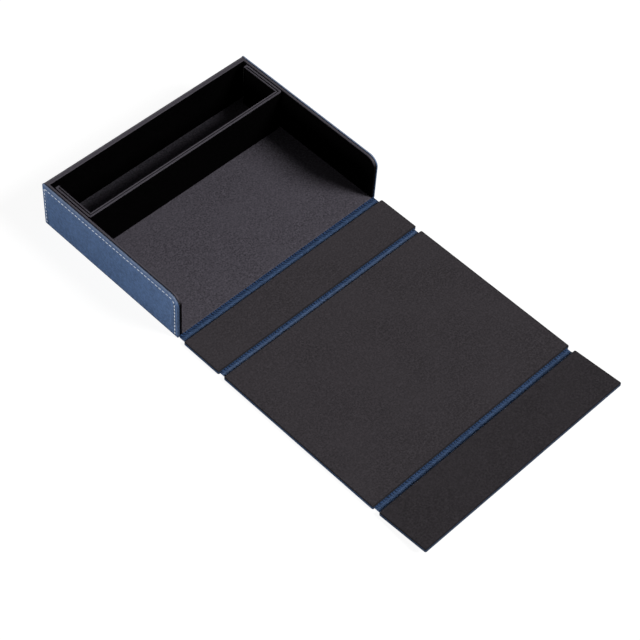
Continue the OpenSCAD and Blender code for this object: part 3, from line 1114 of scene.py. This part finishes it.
class CHEST_OT_stage(bpy.types.Operator):
    """Set up the floor, the light and the camera"""

    bl_idname = "chest.stage"
    bl_label = "Stage"

    def execute(self, context):
        stage = context.scene.chest_stage
        context.scene.view_settings.view_transform = "Standard"
        make_floor()
        make_sky(stage)
        make_light("key_light", stage.key, stage.key_height, stage.key_heading,
                   stage.key_softness)
        make_light("fill_light", stage.fill, stage.fill_height, stage.fill_heading,
                   stage.fill_softness)
        make_camera(stage)
        return {"FINISHED"}


def make_floor():
    """A pale floor that shows white where no shadow falls."""
    only()
    width, drop = 12, 0.2 * MM
    bounced, shaded, glow = 0.8, 0.16, 0.93
    bpy.ops.mesh.primitive_plane_add(size=width, location=(0, 0, -drop))
    floor = bpy.context.object
    floor.name = "floor"
    s = Shader("floor")
    seen = s.node("ShaderNodeLightPath", out="Is Camera Ray")
    pale = s.node("ShaderNodeBsdfDiffuse", sockets={"Color": (bounced, bounced, bounced, 1)})
    dim = s.node("ShaderNodeBsdfDiffuse", sockets={"Color": (shaded, shaded, shaded, 1)})
    light = s.node("ShaderNodeEmission", sockets={"Color": (1, 1, 1, 1), "Strength": glow})
    shown = s.node("ShaderNodeAddShader", sockets={0: dim, 1: light})
    both = s.node("ShaderNodeMixShader", sockets={0: seen, 1: pale, 2: shown})
    s.node("ShaderNodeOutputMaterial", sockets={"Surface": both})
    floor.data.materials.append(s.owner)


def make_sky(stage):
    """Even light from all round, seen as white behind the object and in its reflections."""
    world = bpy.data.worlds.new("sky")
    bpy.context.scene.world = world
    s = Shader("sky", world)
    rays = [s.node("ShaderNodeLightPath", out=f"Is {kind} Ray")
            for kind in ("Camera", "Glossy", "Transmission")]
    strength = s.node("ShaderNodeMapRange", sockets={
        "Value": rays[0] + rays[1] + rays[2], "To Min": stage.sky, "To Max": 1.0})
    light = s.node("ShaderNodeBackground", sockets={"Strength": strength})
    s.node("ShaderNodeOutputWorld", sockets={"Surface": light})


def make_light(name, strength, height, heading, softness):
    """A broad soft light from one side."""
    flat = math.cos(height)
    towards = Vector((flat * math.cos(heading), -flat * math.sin(heading), math.sin(height)))
    light = bpy.data.lights.new(name, "SUN")
    light.energy = strength
    light.angle = softness
    lamp = bpy.data.objects.new(name, light)
    lamp.rotation_euler = towards.to_track_quat("Z", "Y").to_euler()
    bpy.context.collection.objects.link(lamp)


def make_camera(stage):
    """The camera, standing and turned as the photographer's was."""
    data = bpy.data.cameras.new("camera")
    data.sensor_width = 36
    data.lens = stage.lens
    camera = bpy.data.objects.new("camera", data)
    place, aim = Vector(stage.camera_place), Vector(stage.camera_aim)
    level = (aim - place).to_track_quat("-Z", "Y").to_matrix()
    roll = Matrix.Rotation(stage.camera_roll, 3, "Z")
    camera.matrix_world = Matrix.Translation(place) @ (level @ roll).to_4x4()
    bpy.context.collection.objects.link(camera)
    bpy.context.scene.camera = camera


class CHEST_PT_pieces(bpy.types.Panel):
    """The steps that dress the chest, in order"""

    bl_label = "Dice storage chest"
    bl_idname = "CHEST_PT_pieces"
    bl_space_type = "VIEW_3D"
    bl_region_type = "UI"
    bl_category = "Chest"

    def draw(self, context):
        for step in STEPS:
            self.layout.operator(step.bl_idname)
        for group in GROUPS:
            settings = getattr(context.scene, group)
            box = self.layout.box()
            for name in settings.bl_rna.properties.keys():
                if name not in ("rna_type", "name"):
                    box.prop(settings, name)


GROUPS = {"chest_sizes": Sizes, "chest_finishes": Finishes, "chest_stage": Stage}
STEPS = (CHEST_OT_inner_parts, CHEST_OT_side_covers, CHEST_OT_wall_linings, CHEST_OT_floor,
         CHEST_OT_panels, CHEST_OT_folds, CHEST_OT_divider, CHEST_OT_stage)
CLASSES = (*GROUPS.values(), *STEPS, CHEST_PT_pieces)


def register():
    for kind in CLASSES:
        bpy.utils.register_class(kind)
    for group, kind in GROUPS.items():
        setattr(bpy.types.Scene, group, PointerProperty(type=kind))


def unregister():
    for group in GROUPS:
        delattr(bpy.types.Scene, group)
    for kind in reversed(CLASSES):
        bpy.utils.unregister_class(kind)


def main():
    register()
    for step in STEPS:
        family, name = step.bl_idname.split(".")
        getattr(getattr(bpy.ops, family), name)()
    only()


if __name__ == "__main__":
    main()
